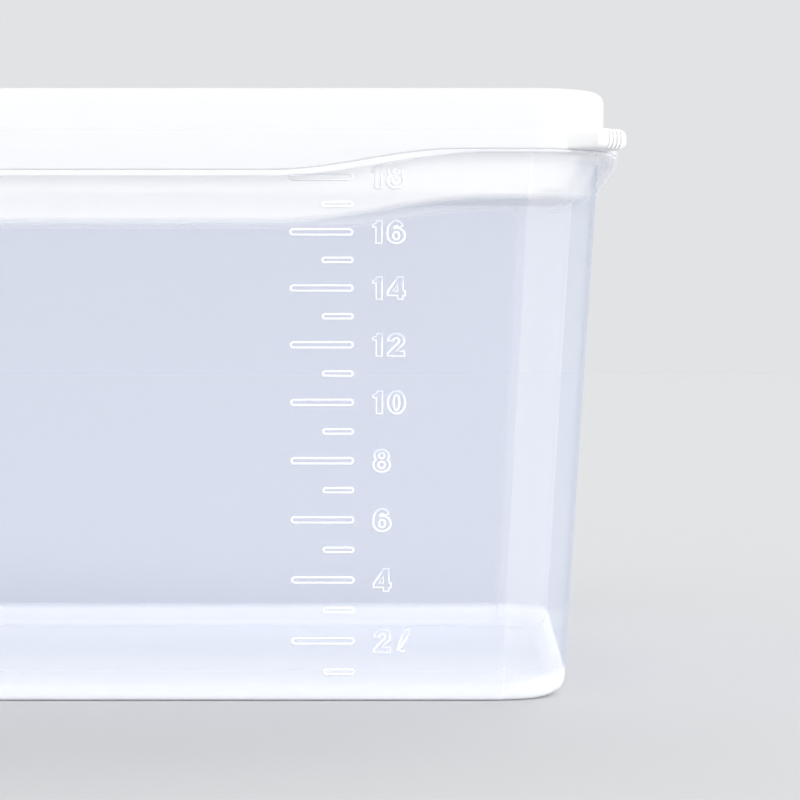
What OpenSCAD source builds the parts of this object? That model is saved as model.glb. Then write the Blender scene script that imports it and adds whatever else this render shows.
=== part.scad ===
// Rectangular dough proofing container of about 19 litres: a moulded tub with a litre scale,
// and a press-on lid whose skirt runs in a wave along the front and the back.
// Origin under the middle of the base, +Z up, the scale on the -Y face.

/* [View] */
// Which sub-part to draw

/* [Tub body] */
// Outer width of the body at the height of its rim, without the raised panels
body_w = 362; // [300:1:420]
// Outer depth of the body at the height of its rim, without the raised panels
body_d = 308; // [260:1:380]
// Height of the tub from the floor to the top of its rim
tub_h = 192.6; // [170:0.1:230]
// Thickness of the walls
wall_t = 2.2; // [1.8:0.1:3]
// Thickness of the floor
floor_t = 2.2; // [1.8:0.1:3]
// Lean of the end walls, in millimetres for each millimetre of height
lean_x = 0.063; // [0.04:0.001:0.08]
// Lean of the front and back walls, in millimetres for each millimetre of height
lean_y = 0.072; // [0.04:0.001:0.08]
// Outer corner radius at the base
corner_low = 20; // [16:0.5:22]
// Outer corner radius under the rim
corner_high = 22; // [20:0.5:26]
// Radius between the walls and the base, outside
base_r = 7; // [5:0.5:9]
// How far the flat panels stand proud of the corner columns
panel_rise = 1; // [0.5:0.1:1.5]
// Depth of the hollow under the base, inside its foot ring
foot_h = 0.8; // [0.5:0.1:1.2]

/* [Rim of the tub] */
// How far the rim reaches out from the body
rim_out = 5.6; // [5:0.1:6.5]
// Thickness of the web and of the lip that hangs from it
rim_t = 1.4; // [1.2:0.1:1.6]
// Height of the hanging lip at the corners
lip_h = 5.8; // [5.5:0.1:8]
// How much deeper the lip hangs in the middle of the front and the back
lip_wave = 8.1; // [6:0.1:10]
// How far the rim swells out along the middle of each end, as a grip
grip_out = 4; // [3:0.1:5]
// Length over which the rim swells to its full width
grip_run = 70; // [40:1:90]

/* [Wave] */
// Half the length of the low stretch in the middle
wave_flat = 70; // [50:1:80]
// Where the lid's wave ends, from the middle
wave_lid_end = 134; // [120:1:138]
// Where the wave of the tub's lip ends, from the middle
wave_lip_end = 146; // [140:1:150]

/* [Lid] */
// Thickness of the lid
lid_t = 1.8; // [1.5:0.1:2.2]
// Height of the lid's dome above its ledge
dome_h = 14.2; // [10:0.1:18]
// Radius along the top edge of the dome
dome_r = 3.8; // [2.5:0.1:4.5]
// How far the dome's wall stands outside the body's upper edge
dome_out = 2.4; // [1.8:0.1:2.6]
// Thickness of the skirt
skirt_t = 1.4; // [1.2:0.1:1.6]
// Height of the skirt at the corners, from the top of the ledge
skirt_h = 6.8; // [6.5:0.1:7.2]
// How much deeper the skirt hangs in the middle of the front and the back
skirt_wave = 7; // [5:0.1:8]
// How far the sealing ring reaches down into the tub
seal_h = 6; // [4:0.5:8]
// Thickness of the sealing ring
seal_t = 1.5; // [1.2:0.1:2]
// Depth of the sunk field in the top
field_h = 1; // [0.5:0.1:1.5]
// Width of the border round the sunk field
field_in = 13; // [10:0.5:20]

/* [Corner tabs] */
// Width of a pull tab
tab_w = 14; // [12:0.5:18]
// How far a pull tab stands out from the corner
tab_out = 11.4; // [8:0.1:13]
// Radius of a tab's edges
tab_r = 2.6; // [2:0.1:3]
// Number of grip ribs on a tab
tab_ribs = 4; // [3:1:5]

/* [Litre scale] */
// Least height kept free of marks under the top of the rim
scale_free = 8; // [7:1:60]
// Right end of the bars, from the middle of the front
bar_end = 98; // [60:1:120]
// Length of a bar at an even number of litres
bar_even = 21.8; // [15:0.1:25]
// Length of a bar at an odd number of litres
bar_odd = 11; // [8:0.1:14]
// Width of a bar at an even number of litres
bar_even_w = 2.7; // [2.2:0.1:3.2]
// Width of a bar at an odd number of litres
bar_odd_w = 2.4; // [2:0.1:3]
// Width of the raised line that outlines a bar
bar_line = 0.7; // [0.5:0.1:0.9]
// Height of that line above the wall
bar_rise = 0.5; // [0.3:0.1:0.8]
// How far the middle of a bar lies under the true level
bar_drop = 2.4; // [0:0.1:4]

/* [Fit] */
// Clearance between the lid and the tub
fit_gap = 0.3; // [0.2:0.05:0.5]

/* [Hidden] */
TUB_COLOR = [0.86, 0.89, 0.95];
LID_COLOR = [0.98, 0.98, 0.99];

// Steps in a quarter turn of a corner, and in the small radii of the section
CORNER_STEPS = 6;
EDGE_STEPS = 4;
// Steps of one wave and of one swelling
WAVE_STEPS = 8;
GRIP_STEPS = 5;
// Steps in which a mark's level is found, and cubic millimetres in a litre
LEVEL_STEPS = 6;
LITRE = 1e6;
// Width of the slope round a flat panel, and how far under the rim the panel ends
PANEL_SLOPE = 1.5;
PANEL_END = 2;
// Width of the flat foot ring under the base, and of the slope inside it
FOOT_W = 7;
FOOT_SLOPE = 2;
// Fillet under the tub's rim, and the small edges of its lip
WEB_FILLET = 0.6;
LIP_EDGE = 0.5;
// The skirt's upper band: how far it stands back, its height and the height of the step under it
BAND_IN = 0.4;
BAND_H = 4.3;
BAND_STEP = 0.7;
// Rounded edge of the ledge, and the slope into the sunk field
LEDGE_EDGE = 1.3;
FIELD_SLOPE = 2;
// Lead-in of the sealing ring, and how deep its inner face starts under the top of the ledge
LEAD_W = 0.4;
LEAD_H = 1;
RING_ROOT = 1;
// How deep a raised line starts inside the wall
EMBED = 0.6;
// Half the angle that a tab's root spans, its grip ribs, and how deep a tab's root lies in the skirt
ROOT_ANGLE = 20;
RIB_PITCH = 1.9;
RIB_R = 0.5;
ROOT_DEPTH = 1.3;

lid_z = tub_h + fit_gap;              // underside of the lid's ledge
ledge_z = lid_z + lid_t;              // top of the lid's ledge
top_z = ledge_z + dome_h;             // top of the lid
web_z = tub_h - rim_t;                // underside of the tub's rim
lip_out = rim_out - skirt_t - fit_gap; // face of the tub's lip, behind the skirt
inner_r = base_r - wall_t;

// Body outline at a height: half sizes and corner radius
function half_x(z) = body_w / 2 - lean_x * (tub_h - z);
function half_y(z) = body_d / 2 - lean_y * (tub_h - z);
function corner(z) = corner_low + (corner_high - corner_low) * z / tub_h;

// From 1 down to 0 between two places, with a level start and end
function fall(x, from, to) =
    let (q = max(0, min(1, (abs(x) - from) / (to - from)))) (1 + cos(180 * q)) / 2;

// Half the straight length of the faces at the rim, and the places along them that need points
full_x = half_x(tub_h) - corner(tub_h);
full_y = half_y(tub_h) - corner(tub_h);
grip_end = full_y - 2 * PANEL_SLOPE;
wave_x = [for (i = [0:WAVE_STEPS]) wave_flat + (wave_lip_end - wave_flat) * i / WAVE_STEPS];
grip_y = [for (i = [0:GRIP_STEPS]) grip_end - grip_run * (1 - sin(90 * i / GRIP_STEPS))];

// The points along one straight face, from one corner's end to the other, with the panel's slopes
function face(side, end, full) =
    let (k = end / full)
    concat(
        [-end, -end + PANEL_SLOPE],
        [for (i = [len(side) - 1:-1:0]) -side[i] * k], [for (s = side) s * k],
        [end - PANEL_SLOPE, end]
    );

// A row of the section is [out, z, share of the lip's wave, share of the skirt's wave,
// share of the panel's rise, share of the grip's swelling, height whose outline it follows]
function wall(out, z, panel = 1) = [out, z, 0, 0, panel, 0, z];
function rim(out, z, lip = 0, skirt = 0, grip = 1) = [out, z, lip, skirt, 0, grip, tub_h];

// A quarter round of the section with its centre at (out, z)
function quarter(out, z, r, from, to, upright = false) =
    [for (i = [0:EDGE_STEPS])
        let (t = from + (to - from) * i / EDGE_STEPS, o = out + r * cos(t), h = z + r * sin(t))
        upright ? rim(o, h, grip = 0) : wall(o, h)];

function dip(row, x) =
    row[2] * lip_wave * fall(x, wave_flat, wave_lip_end)
    + row[3] * skirt_wave * fall(x, wave_flat, wave_lid_end);
function rise(row, i, n) = i == 0 || i == n - 1 ? 0 : row[4] * panel_rise;
function swell(row, y) =
    let (q = max(0, min(1, 1 - (grip_end - abs(y)) / grip_run))) row[5] * grip_out * sqrt(1 - q * q);
function arc(x, y, r, from, z) =
    [for (i = [1:CORNER_STEPS - 1])
        let (t = from + 90 * i / CORNER_STEPS) [x + r * cos(t), y + r * sin(t), z]];

// A closed ring of points round the container for one row, counter-clockwise from the front
function ring(row) =
    let (
        x = half_x(row[6]) - corner(row[6]), y = half_y(row[6]) - corner(row[6]),
        r = corner(row[6]) + row[0], z = row[1],
        fx = face(wave_x, x, full_x), fy = face(grip_y, y, full_y), nx = len(fx), ny = len(fy)
    )
    concat(
        [for (i = [0:nx - 1]) [fx[i], -y - r - rise(row, i, nx), z - dip(row, fx[i])]],
        arc(x, -y, r, -90, z),
        [for (i = [0:ny - 1]) [x + r + rise(row, i, ny) + swell(row, fy[i]), fy[i], z]],
        arc(x, y, r, 0, z),
        [for (i = [nx - 1:-1:0]) [fx[i], y + r + rise(row, i, nx), z - dip(row, fx[i])]],
        arc(-x, y, r, 90, z),
        [for (i = [ny - 1:-1:0]) [-x - r - rise(row, i, ny) - swell(row, fy[i]), fy[i], z]],
        arc(-x, -y, r, 180, z)
    );

// A closed shell from rows that run from the middle of its lower side to the middle of its upper side
module shell(rows) {
    rings = [for (row = rows) ring(row)];
    n = len(rings[0]);
    last = len(rings) - 1;
    end = 1 + (last + 1) * n;
    function at(k, i) = 1 + k * n + i % n;
    points = concat([[0, 0, rows[0][1]]], [for (r = rings) each r], [[0, 0, rows[last][1]]]);
    faces = concat(
        [for (i = [0:n - 1]) [0, at(0, i), at(0, i + 1)]],
        [for (k = [0:last - 1], i = [0:n - 1]) each [
            [at(k, i), at(k + 1, i), at(k + 1, i + 1)],
            [at(k, i), at(k + 1, i + 1), at(k, i + 1)]
        ]],
        [for (i = [0:n - 1]) [end, at(last, i + 1), at(last, i)]]
    );
    polyhedron(points, faces, convexity = 12);
}

// Litres held up to a height: the sloping prism inside the walls, less its rounded corners, plus
// what the flat panels add
function bore_area(z) =
    4 * (half_x(z) - wall_t) * (half_y(z) - wall_t) - (4 - PI) * pow(corner(z) - wall_t, 2)
    + 4 * panel_rise * (half_x(z) + half_y(z) - 2 * corner(z));
function litres(z) =
    let (h = z - floor_t, m = floor_t + h / 2)
    (bore_area(floor_t) + 4 * bore_area(m) + bore_area(z)) * h / 6 / LITRE;
function level(v, z = tub_h / 2, n = LEVEL_STEPS) =
    n == 0 ? z : level(v, z - (litres(z) - v) * LITRE / bore_area(z), n - 1);

// Highest mark, in litres
marks = floor(litres(tub_h - scale_free));

// A raised line in the form of a flat-sided loop, lying in the XY plane, its right end at the origin
module loop_bar(length, width) {
    module pill(r) {
        hull()
            for (x = [width / 2 - length, -width / 2])
                translate([x, 0, 0]) cylinder(r = r, h = EMBED + bar_rise, $fn = 14);
    }
    difference() {
        pill(width / 2);
        translate([0, 0, -EMBED]) scale([1, 1, 3]) pill(width / 2 - bar_line);
    }
}

module scale_bars() {
    for (v = [1:marks]) {
        even = v % 2 == 0;
        z = level(v) - bar_drop;
        translate([bar_end, -half_y(z) - panel_rise + EMBED, z])
            rotate([90 - atan(lean_y), 0, 0])
                loop_bar(even ? bar_even : bar_odd, even ? bar_even_w : bar_odd_w);
    }
}

module tub() {
    lip_z = tub_h - lip_h;
    bead_z = ledge_z - skirt_h - fit_gap;
    panel_z = web_z - PANEL_END;
    color(TUB_COLOR) {
        shell(concat(
            [wall(-base_r - FOOT_W - FOOT_SLOPE, foot_h, 0), wall(-base_r - FOOT_W, 0, 0)],
            quarter(-base_r, base_r, base_r, -90, 0),
            [
                wall(0, panel_z - PANEL_SLOPE), wall(0, panel_z, 0), rim(WEB_FILLET, web_z, grip = 0),
                rim(lip_out - rim_t, web_z), rim(lip_out - rim_t, lip_z, lip = 1),
                rim(rim_out, lip_z, lip = 1), rim(rim_out, bead_z, skirt = 1),
                rim(lip_out, bead_z, skirt = 1), rim(lip_out, tub_h - LIP_EDGE),
                rim(lip_out - LIP_EDGE, tub_h), wall(-wall_t, tub_h, 0),
                wall(-wall_t, panel_z, 0), wall(-wall_t, panel_z - PANEL_SLOPE)
            ],
            quarter(-base_r, floor_t + inner_r, inner_r, 0, -90),
            [wall(-base_r - FOOT_W - FOOT_SLOPE, floor_t, 0)]
        ));
        scale_bars();
    }
}

// A pull tab with grip ribs, reaching along +X from the middle of the radius of a corner
module tab() {
    reach = rim_out + corner(tub_h) + tab_out;
    root = rim_out + corner(tub_h) - ROOT_DEPTH;
    low = ledge_z - skirt_h + tab_r;
    high = ledge_z - tab_r;
    difference() {
        hull() {
            for (y = [tab_r - tab_w / 2, tab_w / 2 - tab_r], z = [low, high])
                translate([reach - tab_r, y, z]) sphere(r = tab_r, $fn = 16);
            for (y = [-1, 1], z = [low, high])
                translate([root * cos(ROOT_ANGLE), y * root * sin(ROOT_ANGLE), z])
                    sphere(r = tab_r, $fn = 16);
        }
        translate([0, 0, ledge_z - 2 * skirt_h]) cylinder(r = root, h = 3 * skirt_h, $fn = 96);
    }
    for (i = [0:tab_ribs - 1])
        hull()
            for (z = [low - RIB_R, high - 2 * RIB_R])
                translate([reach - RIB_R / 4, (i - (tab_ribs - 1) / 2) * RIB_PITCH, z])
                    sphere(r = RIB_R, $fn = 8);
}

module lid() {
    skirt_z = ledge_z - skirt_h;
    seal_out = -wall_t - fit_gap;
    seal_z = lid_z - seal_h;
    color(LID_COLOR) {
        shell(concat(
            [
                rim(-field_in - FIELD_SLOPE, top_z - field_h - lid_t, grip = 0),
                rim(-field_in, top_z - lid_t, grip = 0)
            ],
            quarter(dome_out - dome_r, top_z - dome_r, dome_r - lid_t, 90, 0, true),
            [
                rim(dome_out - lid_t, ledge_z, grip = 0),
                wall(seal_out - seal_t, ledge_z - RING_ROOT, 0), wall(seal_out - seal_t, seal_z, 0),
                wall(seal_out - LEAD_W, seal_z, 0), wall(seal_out, seal_z + LEAD_H, 0),
                wall(seal_out, lid_z, 0), rim(rim_out - skirt_t, lid_z),
                rim(rim_out - skirt_t, skirt_z, skirt = 1), rim(rim_out, skirt_z, skirt = 1),
                rim(rim_out, ledge_z - BAND_H - BAND_STEP), rim(rim_out - BAND_IN, ledge_z - BAND_H),
                rim(rim_out - BAND_IN, ledge_z - LEDGE_EDGE), rim(rim_out - LEDGE_EDGE, ledge_z),
                rim(dome_out, ledge_z, grip = 0)
            ],
            quarter(dome_out - dome_r, top_z - dome_r, dome_r, 0, 90, true),
            [
                rim(-field_in, top_z, grip = 0),
                rim(-field_in - FIELD_SLOPE, top_z - field_h, grip = 0)
            ]
        ));
        for (sx = [-1, 1], sy = [-1, 1])
            translate([sx * full_x, sy * full_y, 0]) rotate([0, 0, atan2(sy, sx)]) tab();
    }
}

tub();
lid();
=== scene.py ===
"""Dough proofing container: translucent tub and milky lid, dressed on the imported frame.

Metres, +Z up, the litre scale on the front at -Y.
"""

import math

import bpy
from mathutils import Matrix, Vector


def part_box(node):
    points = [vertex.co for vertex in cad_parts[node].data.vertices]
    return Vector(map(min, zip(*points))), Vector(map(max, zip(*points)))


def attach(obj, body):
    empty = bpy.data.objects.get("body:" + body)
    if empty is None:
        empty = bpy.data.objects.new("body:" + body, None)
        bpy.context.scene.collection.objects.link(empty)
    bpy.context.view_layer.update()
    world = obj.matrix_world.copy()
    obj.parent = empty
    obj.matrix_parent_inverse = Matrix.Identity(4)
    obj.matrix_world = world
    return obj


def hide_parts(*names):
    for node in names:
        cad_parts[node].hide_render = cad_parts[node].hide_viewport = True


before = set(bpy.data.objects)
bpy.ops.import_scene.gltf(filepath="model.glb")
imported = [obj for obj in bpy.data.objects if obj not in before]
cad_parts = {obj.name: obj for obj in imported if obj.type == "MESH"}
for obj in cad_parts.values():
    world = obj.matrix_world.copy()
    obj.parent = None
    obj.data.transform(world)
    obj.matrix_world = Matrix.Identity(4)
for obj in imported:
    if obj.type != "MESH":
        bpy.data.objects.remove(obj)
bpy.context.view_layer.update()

MM = 0.001
FRAME_PX = 800

# Body of the tub: widths at the rim, lean of the walls, radii and thicknesses
BODY_W, BODY_D = 362 * MM, 308 * MM
TUB_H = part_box("tub")[1][2]
LID_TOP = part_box("lid")[1][2]
WALL_T, FLOOR_T = 2.2 * MM, 2.2 * MM
LEAN_X, LEAN_Y = 0.063, 0.072
CORNER_LOW, CORNER_HIGH = 20 * MM, 22 * MM
BASE_R = 7 * MM
PANEL_RISE, PANEL_SLOPE, CREASE_W = 1 * MM, 1 * MM, 0.5 * MM
FOOT_H = 0.8 * MM

# How far under the rim the panels end, and the flat foot ring with the slope inside it
PANEL_END = 2 * MM
FOOT_W, FOOT_SLOPE = 7 * MM, 2 * MM

# Rim of the tub, its two waves and its grips
RIM_OUT, RIM_T = 5.6 * MM, 1.4 * MM
LIP_H, LIP_WAVE = 5.8 * MM, 8.1 * MM
GRIP_OUT, GRIP_RUN = 4 * MM, 70 * MM
WAVE_FLAT, WAVE_LID_END, WAVE_LIP_END = 70 * MM, 134 * MM, 146 * MM
WEB_FILLET, LIP_EDGE, RIM_EDGE = 0.6 * MM, 0.2 * MM, 0.5 * MM

# Lid
LID_T, DOME_R, DOME_OUT = 1.8 * MM, 3.8 * MM, 2.4 * MM
SKIRT_T, SKIRT_H, SKIRT_WAVE = 1.4 * MM, 6.8 * MM, 7 * MM
SEAL_H, SEAL_T = 6 * MM, 1.5 * MM
FIELD_H, FIELD_IN, FIELD_SLOPE = 1 * MM, 13 * MM, 2 * MM
FIT_GAP = 0.3 * MM

# Upper band of the skirt, the rounded edge of the ledge with its middle point, and the lower edge
BAND_IN, BAND_H, BAND_STEP = 0.4 * MM, 4.3 * MM, 0.7 * MM
LEDGE_ROUND, ROUND_IN, ROUND_DOWN = 1.3 * MM, 0.3 * MM, 0.4 * MM
SKIRT_EDGE, DOME_EDGE = 0.3 * MM, 0.5 * MM

# Lead-in of the sealing ring, and how deep its inner face starts under the ledge
LEAD_W, LEAD_H, RING_ROOT = 0.4 * MM, 1 * MM, 1 * MM

# Pull tabs: the root spans twice the angle, in degrees
TAB_W, TAB_OUT, TAB_R = 14 * MM, 11.4 * MM, 2.6 * MM
TAB_RIBS, RIB_PITCH, RIB_R, RIB_DEPTH = 4, 1.9 * MM, 0.45 * MM, 0.65 * MM
ROOT_ANGLE = 22

# Litre scale; the numerals are set out in millimetres
MARKS, LITRE = 18, 0.001
BAR_END = 98 * MM
BAR_EVEN, BAR_ODD = 21.8 * MM, 11 * MM
BAR_EVEN_W, BAR_ODD_W = 2.7 * MM, 2.4 * MM
BAR_DROP = 2.4 * MM
BAR_LINE_R, SIGN_LINE_R = 0.42 * MM, 0.4 * MM
NUMERAL_X = 104.4 * MM
NUMERAL_H = 7.6
DIGIT_STEP = 5.0

# How milky the plastic is: the share of it that scatters light, the rest being clear and tinted.
# The inner side of each wall is almost clear, so that light scatters once in a wall.
PANEL_MILK, COLUMN_MILK, CREASE_MILK = 0.08, 0.18, 0.15
# The neck milk also makes the front band of painted light under the rim
NECK_MILK_AND_PAINTED_LIGHT, RIM_MILK = 0.62, 0.7
SIDE_MILK, BASE_MILK, FLOOR_MILK = 0.7, 0.95, 0.9
INNER_MILK, LID_MILK, TAB_MILK, SCALE_MILK = 0.03, 0.85, 0.95, 1.0

# Milky band on the front under the rim, painted light that whitens the front where the rim behind lies in
# the lid's shade: its lower edge at the corners, and the height in which it fades
PAINTED_LIGHT_BAND_Z, NECK_AND_PAINTED_LIGHT_FADE = TUB_H - 21.6 * MM, 2.5 * MM

# How the milky base fades upwards: at once on the back and the ends, in three steps on the front
FRONT_MILK, LOW_MILK, HAZE_MILK = 0.33, 0.27, 0.15
BASE_FADE, HAZE_H, HAZE_END = 3 * MM, 10 * MM, 17 * MM

# Share of the scattered light that comes through, by part, and how fast the tint fades as it gets milkier
WALL_GLOW, BASE_GLOW, LID_GLOW, TAB_GLOW, SCALE_GLOW = 0.5, 0.15, 0.4, 0.1, 0.3
TINT_FADE = 1.6

# Slanting views: more milk, a deeper tint towards the edge, and more sheen. The deeper tint is partly real,
# from the longer way through the wall, and partly painted shade, a dark line at the silhouettes standing in
# for the refraction at the wall's edge
SLANT_BLEND, SLANT_GAIN = 0.35, 1.4
EDGE_TINT_AND_PAINTED_SHADE = (0.55, 0.62, 0.72)
SHEEN_FACING, SHEEN_GRAZING, SHEEN_POWER = 0.04, 0.22, 7

# Surface of the plastic: uneven roughness and a fine grain, both in cycles per metre
CLOUD_SCALE, CLOUD_DETAIL, CLOUD_SPREAD = 45, 3, 0.1
GRAIN_SCALE, GRAIN_STRENGTH, GRAIN_H = 900, 0.05, 0.1 * MM

# Studio: a white tent lights the object, while the camera and the reflections see grey paper.
# The floor lies just below the foot ring, because two faces in one plane would flicker.
PAPER = (0.76, 0.768, 0.782)
FLOOR_COLOR = (0.547, 0.552, 0.562)
FLOOR_HALF, GROUND_GAP = 40.0, 0.05 * MM
TENT_LIGHT, ZENITH_LIGHT = 1.65, 0.1

# Small chamfer of the lip and of the tub's inner upper edge
CHAMFER = 0.4 * MM

# Steps of the meshes and of finding a level, and the angle in degrees from which an edge is sharp
CORNER_STEPS, EDGE_STEPS, WAVE_STEPS, GRIP_STEPS = 24, 8, 36, 16
TAB_STEPS, LEVEL_STEPS = 6, 6
SHARP, TAB_SHARP = 32, 40

LID_Z = TUB_H + FIT_GAP
LEDGE_Z = LID_Z + LID_T
WEB_Z = TUB_H - RIM_T
LIP_OUT = RIM_OUT - SKIRT_T - FIT_GAP


def half_x(z):
    return BODY_W / 2 - LEAN_X * (TUB_H - z)


def half_y(z):
    return BODY_D / 2 - LEAN_Y * (TUB_H - z)


def corner(z):
    return CORNER_LOW + (CORNER_HIGH - CORNER_LOW) * z / TUB_H


def fall(x, start, end):
    """From 1 down to 0 between two distances from the middle, level at both ends."""
    q = max(0.0, min(1.0, (abs(x) - start) / (end - start)))
    return (1 + math.cos(math.pi * q)) / 2


FULL_X = half_x(TUB_H) - corner(TUB_H)
FULL_Y = half_y(TUB_H) - corner(TUB_H)
GRIP_END = FULL_Y - 2 * PANEL_SLOPE
WAVE_STATIONS = [WAVE_FLAT + (WAVE_LIP_END - WAVE_FLAT) * i / WAVE_STEPS for i in range(WAVE_STEPS + 1)]
GRIP_STATIONS = [
    GRIP_END - GRIP_RUN * (1 - math.sin(math.pi / 2 * i / GRIP_STEPS)) for i in range(GRIP_STEPS + 1)
]


def wall(out, z, panel=1, milk=PANEL_MILK, lip=0, front=None):
    """A row of the section that follows the leaning body at its own height.

    front says how milky the front is, where that differs from the other sides.
    """
    row = {"out": out, "z": z, "lip": lip, "skirt": 0, "panel": panel, "grip": 0, "at": z}
    return dict(row, milk=milk, front=milk if front is None else front)


def rim(out, z, lip=0, skirt=0, grip=1, milk=RIM_MILK):
    """A row of the section that follows the outline at the top of the rim."""
    row = {"out": out, "z": z, "lip": lip, "skirt": skirt, "panel": 0, "grip": grip, "at": TUB_H}
    return dict(row, milk=milk, front=milk)


def milked(rows, milk):
    """The same rows, all equally milky."""
    return [dict(row, milk=milk, front=milk) for row in rows]


def quarter(out, z, r, start, end, upright=False):
    """A quarter round of the section with its centre at (out, z); the base is milkiest where it is flat."""
    rows = []
    for i in range(EDGE_STEPS + 1):
        t = math.radians(start + (end - start) * i / EDGE_STEPS)
        o, h = out + r * math.cos(t), z + r * math.sin(t)
        low = abs(math.sin(t))
        milk, front = (side + (BASE_MILK - side) * low for side in (SIDE_MILK, FRONT_MILK))
        rows.append(rim(o, h, grip=0) if upright else wall(o, h, milk=milk, front=front))
    return rows


def bow(y):
    """From 1 down to 0 along a grip, as a quarter of an ellipse."""
    q = max(0.0, min(1.0, 1 - (GRIP_END - abs(y)) / GRIP_RUN))
    return math.sqrt(1 - q * q)


def places(stations, end, full):
    """Places along one straight face: its ends, the panel's slopes, and the stations of its wave."""
    side = [place * end / full for place in stations]
    side += [end - PANEL_SLOPE - CREASE_W, end - PANEL_SLOPE, end]
    return [-s for s in reversed(side)] + [0.0] + side


def ring(row):
    """The closed outline of one row, counter-clockwise from the front left."""
    x = half_x(row["at"]) - corner(row["at"])
    y = half_y(row["at"]) - corner(row["at"])
    r, z = corner(row["at"]) + row["out"], row["z"]
    front = places(WAVE_STATIONS, x, FULL_X)
    side = places(GRIP_STATIONS, y, FULL_Y)
    long_side, short_side = [], []
    for i, p in enumerate(front):
        rise = 0 if i in (0, len(front) - 1) else row["panel"] * PANEL_RISE
        drop = row["lip"] * LIP_WAVE * fall(p, WAVE_FLAT, WAVE_LIP_END)
        drop += row["skirt"] * SKIRT_WAVE * fall(p, WAVE_FLAT, WAVE_LID_END)
        lean = LEAN_Y * drop if row["at"] == z else 0
        long_side.append((p, y + r + rise - lean, z - drop))
    for i, p in enumerate(side):
        rise = 0 if i in (0, len(side) - 1) else row["panel"] * PANEL_RISE
        swell = row["grip"] * GRIP_OUT * bow(p)
        short_side.append((x + r + rise + swell, p, z))

    def arc(cx, cy, start):
        turn = [math.radians(start + 90 * i / CORNER_STEPS) for i in range(1, CORNER_STEPS)]
        return [(cx + r * math.cos(t), cy + r * math.sin(t), z) for t in turn]

    points = [(px, -py, pz) for px, py, pz in long_side]
    points += arc(x, -y, -90) + short_side + arc(x, y, 0)
    points += list(reversed(long_side)) + arc(-x, y, 90)
    points += [(-px, py, pz) for px, py, pz in reversed(short_side)] + arc(-x, -y, 180)
    return points


def milkiness(row):
    """How milky the plastic is at each point of a row: columns and creases more than panels."""
    sides = []
    for i, stations in enumerate((WAVE_STATIONS, GRIP_STATIONS, WAVE_STATIONS, GRIP_STATIONS)):
        share = row["milk"] if i else row["front"]
        column, crease = (COLUMN_MILK, CREASE_MILK) if share == PANEL_MILK else (share, share)
        sides.append([column, crease] + [share] * (2 * len(stations) + 3) + [crease, column])
    values = []
    for side, after in zip(sides, sides[1:] + sides[:1]):
        step = (after[0] - side[-1]) / CORNER_STEPS
        values += side + [side[-1] + step * k for k in range(1, CORNER_STEPS)]
    return values


def placed(name, data):
    """A new object in the scene, with that mesh, curve, light or camera."""
    obj = bpy.data.objects.new(name, data)
    bpy.context.collection.objects.link(obj)
    return obj


def solid(name, points, faces, sharp):
    """A smooth mesh object whose edges are sharp where they turn by more than so many degrees."""
    mesh = bpy.data.meshes.new(name)
    mesh.from_pydata(points, [], faces)
    mesh.validate()
    mesh.polygons.foreach_set("use_smooth", [True] * len(mesh.polygons))
    mesh.set_sharp_from_angle(angle=math.radians(sharp))
    return placed(name, mesh)


def on_points(obj, name, values):
    obj.data.attributes.new(name, "FLOAT", "POINT").data.foreach_set("value", values)


def shell(name, rows):
    """A closed mesh from rows that run from the middle of its lower side to the middle of its upper."""
    rings = [ring(row) for row in rows]
    n, last = len(rings[0]), len(rings) - 1
    points = [(0, 0, rows[0]["z"])] + [p for r in rings for p in r] + [(0, 0, rows[-1]["z"])]

    def at(k, i):
        return 1 + k * n + i % n

    faces = [(0, at(0, i + 1), at(0, i)) for i in range(n)]
    for k in range(last):
        faces += [(at(k, i), at(k, i + 1), at(k + 1, i + 1), at(k + 1, i)) for i in range(n)]
    faces += [(len(points) - 1, at(last, i), at(last, i + 1)) for i in range(n)]
    obj = solid(name, points, faces, SHARP)
    shares = [rows[0]["milk"]] + [value for row in rows for value in milkiness(row)] + [rows[-1]["milk"]]
    hues = [0.0 if share == INNER_MILK else max(0.0, 1 - TINT_FADE * share) for share in shares]
    glows = [BASE_GLOW if share > LID_MILK else WALL_GLOW for share in shares]
    on_points(obj, "milk", shares)
    on_points(obj, "hue", hues)
    on_points(obj, "glow", glows)
    return obj


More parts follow.
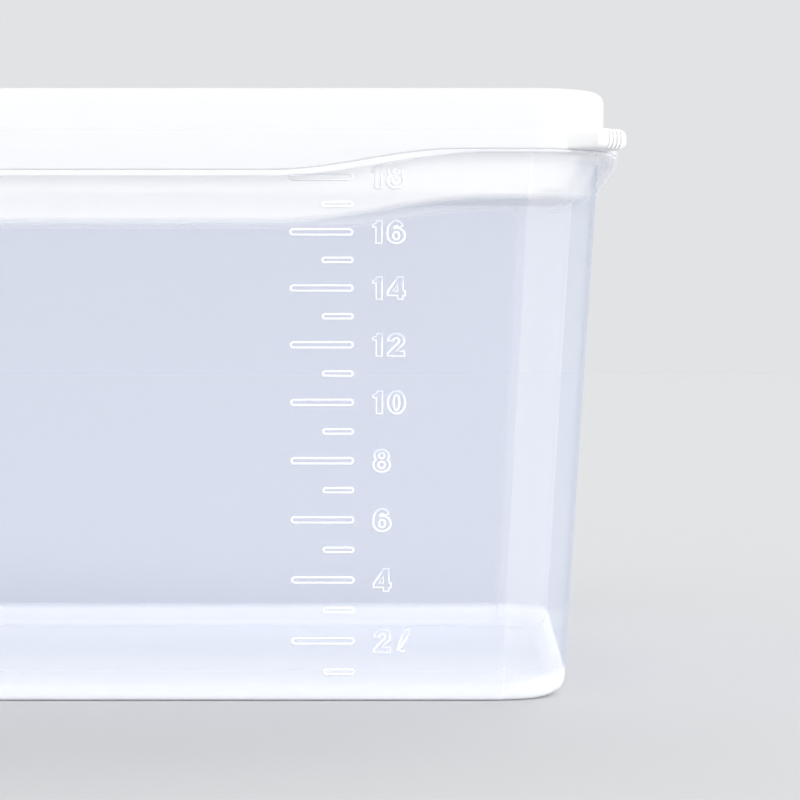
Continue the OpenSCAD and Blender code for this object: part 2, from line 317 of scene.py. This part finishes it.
def tub_rows():
    """The tub's section, from the middle of its underside, over the rim, to the middle of its floor."""
    lip_z = TUB_H - LIP_H
    bead_z = LEDGE_Z - SKIRT_H - FIT_GAP
    panel_z = WEB_Z - PANEL_END
    panel_edge = panel_z - PANEL_SLOPE - CREASE_W
    inner_r = BASE_R - WALL_T
    foot_in = -BASE_R - FOOT_W
    rows = [wall(foot_in - steps * FOOT_SLOPE, FOOT_H, 0, FLOOR_MILK) for steps in (2, 1)]
    rows.append(wall(foot_in, 0, 0, FLOOR_MILK))
    rows += quarter(-BASE_R, BASE_R, BASE_R, -90, 0)
    rows += [
        wall(0, BASE_R + BASE_FADE, front=LOW_MILK),
        wall(0, BASE_R + HAZE_H, front=HAZE_MILK),
        wall(0, BASE_R + HAZE_END),
        # From here to the lip the front is whiter: painted light for the rim zone that the lid shades
        wall(0, PAINTED_LIGHT_BAND_Z, lip=1),
        wall(0, PAINTED_LIGHT_BAND_Z + NECK_AND_PAINTED_LIGHT_FADE, lip=1, front=NECK_MILK_AND_PAINTED_LIGHT),
        wall(0, lip_z - NECK_AND_PAINTED_LIGHT_FADE, lip=1, front=NECK_MILK_AND_PAINTED_LIGHT),
        wall(0, lip_z, 1, NECK_MILK_AND_PAINTED_LIGHT, lip=1),
        wall(0, panel_edge, 1, NECK_MILK_AND_PAINTED_LIGHT),
        wall(0, panel_z, 0, RIM_MILK),
        rim(WEB_FILLET, WEB_Z, grip=0),
        rim(LIP_OUT - RIM_T, WEB_Z),
        rim(LIP_OUT - RIM_T, lip_z, lip=1, milk=INNER_MILK),
        rim(RIM_OUT - CHAMFER, lip_z, lip=1),
        rim(RIM_OUT, lip_z + CHAMFER, lip=1),
        rim(RIM_OUT, bead_z - LIP_EDGE, skirt=1),
        rim(RIM_OUT - LIP_EDGE, bead_z, skirt=1),
        rim(LIP_OUT, bead_z, skirt=1),
        rim(LIP_OUT, TUB_H - RIM_EDGE),
        rim(LIP_OUT - RIM_EDGE, TUB_H),
    ]
    inside = [
        wall(-WALL_T + CHAMFER, TUB_H, 0),
        wall(-WALL_T, TUB_H - CHAMFER, 0),
        wall(-WALL_T, panel_z, 0),
        wall(-WALL_T, panel_edge),
    ]
    inside += quarter(-BASE_R, FLOOR_T + inner_r, inner_r, 0, -90)
    inside.append(wall(foot_in - FOOT_SLOPE, FLOOR_T, 0))
    return rows + milked(inside, INNER_MILK)


def lid_rows():
    """The lid's section, from the middle of its underside, round the seal and the skirt, to its top."""
    skirt_z = LEDGE_Z - SKIRT_H
    skirt_in = RIM_OUT - SKIRT_T
    seal_out, seal_in = -WALL_T - FIT_GAP, -WALL_T - FIT_GAP - SEAL_T
    seal_z = LID_Z - SEAL_H
    band_out, band_z = RIM_OUT - BAND_IN, LEDGE_Z - BAND_H
    dome_out, dome_z = DOME_OUT - DOME_R, LID_TOP - DOME_R
    field_z = LID_TOP - FIELD_H
    inside = [rim(-FIELD_IN - steps * FIELD_SLOPE, field_z - LID_T, grip=0) for steps in (2, 1)]
    inside.append(rim(-FIELD_IN, LID_TOP - LID_T, grip=0))
    inside += quarter(dome_out, dome_z, DOME_R - LID_T, 90, 0, True)
    inside += [
        rim(DOME_OUT - LID_T, LEDGE_Z, grip=0),
        wall(seal_in, LEDGE_Z - RING_ROOT, 0),
        wall(seal_in, seal_z, 0),
    ]
    outside = [
        wall(seal_out - LEAD_W, seal_z, 0),
        wall(seal_out, seal_z + LEAD_H, 0),
        wall(seal_out, LID_Z, 0),
        rim(skirt_in, LID_Z, milk=INNER_MILK),
        rim(skirt_in, skirt_z, skirt=1, milk=INNER_MILK),
        rim(RIM_OUT - SKIRT_EDGE, skirt_z, skirt=1),
        rim(RIM_OUT, skirt_z + SKIRT_EDGE, skirt=1),
        rim(RIM_OUT, band_z - BAND_STEP),
        rim(band_out, band_z),
        rim(band_out, LEDGE_Z - LEDGE_ROUND),
        rim(band_out - ROUND_IN, LEDGE_Z - ROUND_DOWN),
        rim(RIM_OUT - LEDGE_ROUND, LEDGE_Z),
        rim(DOME_OUT + DOME_EDGE, LEDGE_Z, grip=0),
        rim(DOME_OUT, LEDGE_Z + DOME_EDGE, grip=0),
    ]
    outside += quarter(dome_out, dome_z, DOME_R, 0, 90, True)
    outside.append(rim(-FIELD_IN, LID_TOP, grip=0))
    outside += [rim(-FIELD_IN - steps * FIELD_SLOPE, field_z, grip=0) for steps in (1, 2)]
    outside = [row if row["milk"] == INNER_MILK else milked([row], LID_MILK)[0] for row in outside]
    return milked(inside, INNER_MILK) + outside


def bore_area(z):
    """Area of the tub's inside at one height."""
    plan = 4 * (half_x(z) - WALL_T) * (half_y(z) - WALL_T) - (4 - math.pi) * (corner(z) - WALL_T) ** 2
    return plan + 4 * PANEL_RISE * (half_x(z) + half_y(z) - 2 * corner(z))


def level(litres):
    """Height at which the tub holds so many litres, by Newton's method."""
    z = TUB_H / 2
    for _ in range(LEVEL_STEPS):
        h = z - FLOOR_T
        held = (bore_area(FLOOR_T) + 4 * bore_area(FLOOR_T + h / 2) + bore_area(z)) * h / 6
        z -= (held - litres * LITRE) / bore_area(z)
    return z


def tubes(name, paths, radius, steps, caps=False):
    """Round lines along open or closed paths, as one curve object."""
    curve = bpy.data.curves.new(name, "CURVE")
    curve.dimensions = "3D"
    curve.bevel_depth, curve.bevel_resolution = radius, steps
    curve.use_fill_caps = caps
    for path, closed in paths:
        spline = curve.splines.new("POLY")
        spline.points.add(len(path) - 1)
        for point, place in zip(spline.points, path):
            point.co = (*place, 1)
        spline.use_cyclic_u = closed
    return placed(name, curve)


def as_mesh(curve_obj, name):
    """Turns a curve object into a plain mesh object with its place in its mesh."""
    bpy.context.view_layer.update()
    depsgraph = bpy.context.evaluated_depsgraph_get()
    mesh = bpy.data.meshes.new_from_object(curve_obj.evaluated_get(depsgraph))
    mesh.transform(curve_obj.matrix_world)
    bpy.data.objects.remove(curve_obj)
    mesh.polygons.foreach_set("use_smooth", [True] * len(mesh.polygons))
    return placed(name, mesh)


def join(objects, name):
    with bpy.context.temp_override(active_object=objects[0], selected_editable_objects=objects):
        bpy.ops.object.join()
    objects[0].name = name
    return objects[0]


def on_wall(loops, x, v, name, line_r=SIGN_LINE_R):
    """Raised lines along loops, in millimetres from a place on the front wall beside one mark."""
    paths = [([(px * MM, py * MM, 0) for px, py in loop], closed) for loop, closed in loops]
    obj = tubes(name, paths, line_r, 2)
    z = level(v) - BAR_DROP
    obj.location = (x, -half_y(z) - PANEL_RISE, z)
    obj.rotation_euler = (math.radians(90) - math.atan(LEAN_Y), 0, 0)
    return as_mesh(obj, name)


def bend(cx, cy, rx, ry, start, end, steps=10):
    """Points along a stretch of an ellipse, between two angles in degrees."""
    turns = [math.radians(start + (end - start) * i / steps) for i in range(steps + 1)]
    return [(cx + rx * math.cos(t), cy + ry * math.sin(t)) for t in turns]


def oval(cx, cy, rx, ry):
    return bend(cx, cy, rx, ry, 0, 345, 23)


def loop_bar(v):
    """The raised outline of one bar, with round ends."""
    length, width = (BAR_EVEN, BAR_EVEN_W) if v % 2 == 0 else (BAR_ODD, BAR_ODD_W)
    length, width = length / MM, width / MM
    r = width / 2 - BAR_LINE_R / MM
    loop = bend(-width / 2, 0, r, r, -90, 90) + bend(width / 2 - length, 0, r, r, 90, 270)
    return on_wall([(loop, True)], BAR_END, v, f"bar_{v}", BAR_LINE_R)


def digit(sign):
    """Outlines of a bold digit, in millimetres from its lower left corner."""
    if sign == "0":
        return [oval(2.95, 3.8, 2.95, 3.85), oval(2.95, 3.8, 1.0, 2.6)]
    if sign == "1":
        flag = [(0, 5.4), (0, 6.3), (1.0, 6.65), (1.6, 7.55)]
        return [flag + [(3.15, 7.55), (3.15, 0), (1.1, 0), (1.1, 5.4)]]
    if sign == "2":
        body = [(0, 5.15)] + bend(2.85, 5.2, 2.8, 2.4, 165, -25) + [(2.75, 1.7), (5.65, 1.7)]
        body += [(5.65, 0), (0, 0), (0, 0.9)] + bend(2.85, 5.2, 1.0, 0.95, -35, 180) + [(1.85, 5.15)]
        return [body]
    if sign == "4":
        body = [(3.5, 7.6), (5.2, 7.6), (5.2, 2.75), (5.9, 2.75), (5.9, 1.25), (5.2, 1.25), (5.2, 0)]
        body += [(3.35, 0), (3.35, 1.25), (0, 1.25), (0, 2.55)]
        return [body, [(3.35, 2.75), (3.35, 5.1), (1.75, 2.75)]]
    if sign == "6":
        body = bend(2.95, 4.6, 2.5, 3.0, 25, 90) + bend(2.95, 3.8, 2.95, 3.8, 90, 180)
        body += bend(2.95, 2.6, 2.95, 2.6, 180, 450, 18) + [(2.2, 4.85)]
        body += bend(2.95, 4.9, 0.85, 1.0, 190, 30, 6)
        return [body, oval(2.95, 2.55, 1.05, 1.3)]
    upper = bend(2.85, 5.5, 2.5, 2.1, -35, 215, 16)
    lower = bend(2.85, 2.45, 2.85, 2.45, 131, 409, 18)
    return [upper + lower, oval(2.85, 5.55, 1.0, 0.9), oval(2.85, 2.4, 1.15, 1.1)]


def numeral(v):
    loops = []
    for place, sign in enumerate(str(v)):
        for loop in digit(sign):
            loops.append(([(x + place * DIGIT_STEP, y - NUMERAL_H / 2) for x, y in loop], True))
    return on_wall(loops, NUMERAL_X, v, f"numeral_{v}")


def litre_sign():
    """A slanting handwritten l beside the lowest numeral."""
    loop = [(8.0, -3.4), (8.3, -1.9), (9.0, 0.2), (10.0, 2.3), (11.1, 3.6), (11.9, 3.9), (12.2, 3.4)]
    loop += [(11.7, 2.0), (10.7, 0.2), (9.4, -1.7), (8.6, -2.6), (9.2, -3.5), (10.0, -3.6), (10.7, -3.2)]
    return on_wall([(loop, False)], NUMERAL_X, 2, "litre_sign")


def tab_body(root, reach, low, high):
    """The block of a tab along +X, with a round nose and round edges all along it."""
    side = TAB_W / 2 - TAB_R
    outline = bend(0, 0, root, root, -ROOT_ANGLE, ROOT_ANGLE, TAB_STEPS)
    for cy, start in ((side, 90), (-side, 0)):
        outline += bend(reach - TAB_R, cy, TAB_R, TAB_R, start, start - 90, EDGE_STEPS)
    levels = []
    for z, start in ((low + TAB_R, -90), (high - TAB_R, 0)):
        edge = bend(0, z, TAB_R, TAB_R, start, start + 90, TAB_STEPS)
        levels += [(height, TAB_R - width) for width, height in edge]
    points = []
    for z, inset in levels:
        for x, y in outline:
            out = max(0.0, (x - root) / (reach - root))
            points.append((x - inset * out, y * (1 - inset * out / TAB_W), z))
    n, last = len(outline), len(levels) - 1
    faces = [tuple(reversed(range(n))), tuple(range(n * last, n * last + n))]
    for k in range(last):
        for i in range(n):
            j = (i + 1) % n
            faces.append((k * n + i, k * n + j, (k + 1) * n + j, (k + 1) * n + i))
    return solid("tab", points, faces, TAB_SHARP)


def tab(sx, sy):
    """A pull tab with grip ribs on its nose, at one corner of the lid."""
    reach = RIM_OUT + corner(TUB_H) + TAB_OUT - RIB_DEPTH
    root = RIM_OUT + corner(TUB_H) - SKIRT_T / 2
    low, high = LEDGE_Z - SKIRT_H, LEDGE_Z
    pieces = [tab_body(root, reach, low, high)]
    ride = TAB_R + RIB_DEPTH - RIB_R / 2
    nose = []
    for z, turns in ((low + TAB_R, (-50, -35, -20, 0)), (high - TAB_R, (0, 20, 35))):
        for t in map(math.radians, turns):
            nose.append((reach - TAB_R + ride * math.cos(t), z + ride * math.sin(t)))
    for i in range(TAB_RIBS):
        y = (i - (TAB_RIBS - 1) / 2) * RIB_PITCH
        path = [(x, y, z) for x, z in nose]
        pieces.append(as_mesh(tubes("rib", [(path, False)], RIB_R, 3, caps=True), "rib_mesh"))
    obj = join(pieces, "tab")
    angle = math.atan2(sy, sx)
    for v in obj.data.vertices:
        x, y, z = v.co
        v.co = (
            sx * FULL_X + x * math.cos(angle) - y * math.sin(angle),
            sy * FULL_Y + x * math.sin(angle) + y * math.cos(angle),
            z,
        )
    return obj


def add(tree, kind, inputs, **settings):
    """A new shader node, whose inputs are plain values or the outputs of other nodes."""
    node = tree.nodes.new("ShaderNode" + kind)
    for key, value in settings.items():
        setattr(node, key, value)
    for key, value in inputs.items():
        if isinstance(value, bpy.types.NodeSocket):
            tree.links.new(value, node.inputs[key])
        else:
            node.inputs[key].default_value = value
    return node


def plastic(name, color, tint, milk, glow, roughness):
    """Translucent moulded plastic: clear and tinted in part, milky in part, with a sheen on top.

    How milky it is, and how much light comes through with what tint, are the mesh's own attributes
    where milk and glow are None.
    """
    mat = bpy.data.materials.new(name)
    mat.use_nodes = True
    tree = mat.node_tree
    steep = add(tree, "LayerWeight", {"Blend": 0.5}).outputs["Facing"]
    steep = add(tree, "Math", {0: steep, 1: SHEEN_POWER}, operation="POWER").outputs[0]

    hue = (*tint, 1)
    if glow is None:
        hue = deepened(tree, hue, steep)
        glow = add(tree, "Attribute", {}, attribute_name="glow").outputs["Fac"]
    if milk is None:
        milk = slanted(tree)

    milky = tree.nodes["Principled BSDF"]
    milky.inputs["Base Color"].default_value = (*color, 1)
    milky.inputs["IOR"].default_value = 1.3
    surface(tree, milky, roughness)
    through = add(tree, "BsdfTranslucent", {"Color": (*color, 1)})
    body = add(tree, "MixShader", {"Fac": glow, 1: milky.outputs["BSDF"], 2: through.outputs["BSDF"]})
    clear = add(tree, "BsdfTransparent", {"Color": hue})
    mix = add(tree, "MixShader", {"Fac": milk, 1: clear.outputs["BSDF"], 2: body.outputs["Shader"]})

    gloss = add(tree, "BsdfGlossy", {"Color": (1, 1, 1, 1), "Roughness": roughness})
    sheen = add(tree, "MapRange", {"Value": steep, "To Min": SHEEN_FACING, "To Max": SHEEN_GRAZING})
    inputs = {"Fac": sheen.outputs["Result"], 1: mix.outputs["Shader"], 2: gloss.outputs["BSDF"]}
    skin = add(tree, "MixShader", inputs)
    tree.links.new(skin.outputs["Shader"], tree.nodes["Material Output"].inputs["Surface"])
    return mat


def surface(tree, shader, roughness):
    """Slightly uneven roughness and a very fine grain."""
    place = add(tree, "TexCoord", {}).outputs["Object"]
    inputs = {"Vector": place, "Scale": CLOUD_SCALE, "Detail": CLOUD_DETAIL}
    cloud = add(tree, "TexNoise", inputs).outputs["Fac"]
    low, high = roughness * (1 - CLOUD_SPREAD), roughness * (1 + CLOUD_SPREAD)
    uneven = add(tree, "MapRange", {"Value": cloud, "To Min": low, "To Max": high})
    tree.links.new(uneven.outputs["Result"], shader.inputs["Roughness"])
    grain = add(tree, "TexNoise", {"Vector": place, "Scale": GRAIN_SCALE}).outputs["Fac"]
    relief = add(tree, "Bump", {"Strength": GRAIN_STRENGTH, "Distance": GRAIN_H, "Height": grain})
    tree.links.new(relief.outputs["Normal"], shader.inputs["Normal"])


def deepened(tree, tint, steep):
    """The clear part's colour: tinted as far as the mesh says, and deeper where light passes at a slant,
    which near the silhouettes is partly painted shade standing in for refraction.
    """
    hue = add(tree, "Attribute", {}, attribute_name="hue").outputs["Fac"]
    stain = add(tree, "Mix", {"A": (1, 1, 1, 1), "B": tint, "Factor": hue}, data_type="RGBA")
    # Partly painted shade: the clear part darkens towards the silhouettes, standing in for the dark edge
    # that refraction gives
    painted_edge_shade = add(tree, "Math", {0: steep, 1: hue}, operation="MULTIPLY").outputs[0]
    inputs = {"A": stain.outputs["Result"], "B": (*EDGE_TINT_AND_PAINTED_SHADE, 1), "Factor": painted_edge_shade}
    return add(tree, "Mix", inputs, data_type="RGBA").outputs["Result"]


def slanted(tree):
    """The mesh's own milkiness, raised where the way through the wall is longer."""
    slant = add(tree, "LayerWeight", {"Blend": SLANT_BLEND}).outputs["Facing"]
    gain = add(tree, "MapRange", {"Value": slant, "To Min": 1, "To Max": SLANT_GAIN}).outputs["Result"]
    share = add(tree, "Attribute", {}, attribute_name="milk").outputs["Fac"]
    return add(tree, "Math", {0: share, 1: gain}, operation="MULTIPLY", use_clamp=True).outputs[0]


def dress(obj, mat, body, node=None):
    """Gives a piece its material and its body, and hides the imported node it stands for."""
    obj.data.materials.clear()
    obj.data.materials.append(mat)
    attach(obj, body)
    if node:
        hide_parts(node)


WHITE = (1.0, 1.0, 1.0)
TUB_PLASTIC = plastic("tub_plastic", (0.965, 0.97, 0.985), (0.86, 0.89, 0.975), None, None, 0.16)
SCALE_PLASTIC = plastic("scale_plastic", (0.92, 0.93, 0.945), WHITE, SCALE_MILK, SCALE_GLOW, 0.36)
LID_PLASTIC = plastic("lid_plastic", (0.83, 0.832, 0.836), WHITE, None, LID_GLOW, 0.36)
TAB_PLASTIC = plastic("tab_plastic", (0.88, 0.882, 0.886), WHITE, TAB_MILK, TAB_GLOW, 0.36)

dress(shell("tub_moulding", tub_rows()), TUB_PLASTIC, "tub_body", "tub")
bars = [loop_bar(v) for v in range(1, MARKS + 1)]
dress(join(bars, "litre_bars"), SCALE_PLASTIC, "tub_body")
signs = [numeral(v) for v in range(2, MARKS + 1, 2)] + [litre_sign()]
dress(join(signs, "litre_numerals"), SCALE_PLASTIC, "tub_body")
dress(shell("lid_moulding", lid_rows()), LID_PLASTIC, "lid_body", "lid")
tabs = [tab(sx, sy) for sx in (-1, 1) for sy in (-1, 1)]
dress(join(tabs, "lid_tabs"), TAB_PLASTIC, "lid_body")


def floor():
    """A wide, flat, pale floor that meets the equally pale surroundings far behind."""
    corners = [(-1, -1), (1, -1), (1, 1), (-1, 1)]
    points = [(x * FLOOR_HALF, y * FLOOR_HALF, -GROUND_GAP) for x, y in corners]
    mesh = bpy.data.meshes.new("floor")
    mesh.from_pydata(points, [], [(0, 1, 2, 3)])
    mat = bpy.data.materials.new("floor")
    mat.use_nodes = True
    shader = mat.node_tree.nodes["Principled BSDF"]
    shader.inputs["Base Color"].default_value = (*FLOOR_COLOR, 1)
    shader.inputs["Roughness"].default_value = 1.0
    shader.inputs["Specular IOR Level"].default_value = 0.0
    mesh.materials.append(mat)
    placed("floor", mesh)


def soft_sun(name, strength, turn, spread=60):
    """A broad, distant light that isn't seen in reflections; turn and spread are in degrees."""
    sun = bpy.data.lights.new(name, "SUN")
    sun.energy, sun.angle = strength, math.radians(spread)
    obj = placed(name, sun)
    obj.rotation_euler = [math.radians(t) for t in turn]
    obj.visible_glossy = False


def studio():
    """Soft light from all round, strongest near the horizon, and three broad suns."""
    scene = bpy.context.scene
    scene.world = bpy.data.worlds.new("studio")
    scene.world.use_nodes = True
    tree = scene.world.node_tree
    paper = tree.nodes["Background"]
    paper.inputs["Color"].default_value = (*PAPER, 1)
    paper.inputs["Strength"].default_value = 1
    height = add(tree, "SeparateXYZ", {0: add(tree, "TexCoord", {}).outputs["Generated"]}).outputs["Z"]
    square = add(tree, "Math", {0: height, 1: 2}, operation="POWER").outputs[0]
    inputs = {"Value": square, "To Min": TENT_LIGHT, "To Max": ZENITH_LIGHT}
    strength = add(tree, "MapRange", inputs).outputs["Result"]
    tent = add(tree, "Background", {"Color": (1, 1, 1, 1), "Strength": strength})
    seen = add(tree, "LightPath", {})
    inputs = {0: seen.outputs["Is Camera Ray"], 1: seen.outputs["Is Glossy Ray"]}
    direct = add(tree, "Math", inputs, operation="MAXIMUM").outputs[0]
    inputs = {"Fac": direct, 1: tent.outputs["Background"], 2: paper.outputs["Background"]}
    mix = add(tree, "MixShader", inputs)
    tree.links.new(mix.outputs["Shader"], tree.nodes["World Output"].inputs["Surface"])
    soft_sun("window", strength=0.7, turn=(45, 0, 15))
    soft_sun("back_window", strength=1.3, turn=(-55, 0, -10))
    soft_sun("strip", strength=2.2, turn=(80, 0, 45), spread=40)
    scene.cycles.transparent_max_bounces = 32
    scene.view_settings.view_transform = "Standard"
    scene.view_settings.look = "None"


def camera():
    """Level camera straight in front, with the point it looks at placed in the frame by a small shift."""
    focal_px = 2725
    eye_px = (475, 366)
    distance, eye_x, eye_z = 913 * MM, 139 * MM, 115 * MM
    data = bpy.data.cameras.new("camera")
    data.sensor_width = 36
    data.lens = focal_px / FRAME_PX * data.sensor_width
    data.shift_x = (FRAME_PX / 2 - eye_px[0]) / FRAME_PX
    data.shift_y = (eye_px[1] - FRAME_PX / 2) / FRAME_PX
    data.clip_start = 0.01
    obj = placed("camera", data)
    obj.location = (eye_x, -half_y(TUB_H) - RIM_OUT - distance, eye_z)
    obj.rotation_euler = (math.radians(90), 0, 0)
    bpy.context.scene.camera = obj


floor()
studio()
camera()
